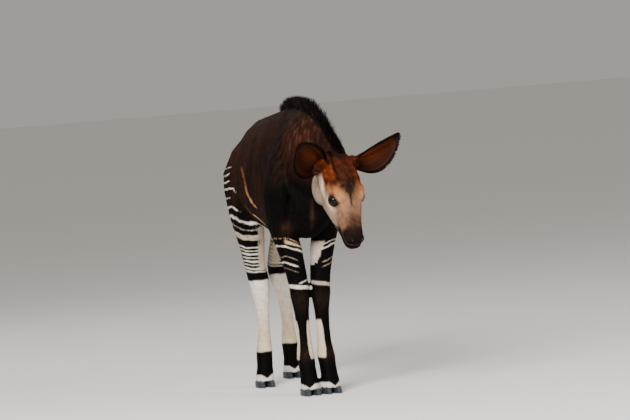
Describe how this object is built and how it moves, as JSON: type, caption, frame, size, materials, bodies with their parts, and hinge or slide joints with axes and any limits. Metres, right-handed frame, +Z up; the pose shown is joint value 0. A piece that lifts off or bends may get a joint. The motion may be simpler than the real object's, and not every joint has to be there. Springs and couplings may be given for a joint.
{
  "type": "okapi calf, still life-size figure",
  "caption": "Young okapi calf standing with its head lowered and turned slightly aside, ears spread, short mane, striped legs.",
  "frame": {"origin": "middle of the bounding box, on the floor", "axes": "+Z up, the calf faces -Y, its left side is +X"},
  "size_m": [0.3488, 1.0158, 0.8768],
  "materials": {
    "coat": "short dense dark chocolate coat with a reddish sheen, black mane and thin white rump bands",
    "face": "short grey-beige face fur, rust-red forehead, black-brown muzzle",
    "leg_coat": "short fur in black and white bands, white shanks",
    "ear_coat": "black-brown outside and rim, russet inside",
    "eye": "wet dark brown, glossy",
    "hoof": "dark blue-grey horn, satin"
  },
  "bodies": {
    "root": {"torso": "coat", "neck": "coat", "head": "face", "tail": "coat", "leg_front_right": "leg_coat", "leg_front_left": "leg_coat", "leg_hind_right": "leg_coat", "leg_hind_left": "leg_coat", "ear_right": "ear_coat", "ear_left": "ear_coat", "eye_right": "eye", "eye_left": "eye", "hoof_front_right_outer": "hoof", "hoof_front_right_inner": "hoof", "hoof_front_left_outer": "hoof", "hoof_front_left_inner": "hoof", "hoof_hind_right_outer": "hoof", "hoof_hind_right_inner": "hoof", "hoof_hind_left_outer": "hoof", "hoof_hind_left_inner": "hoof"}
  },
  "joints": []
}
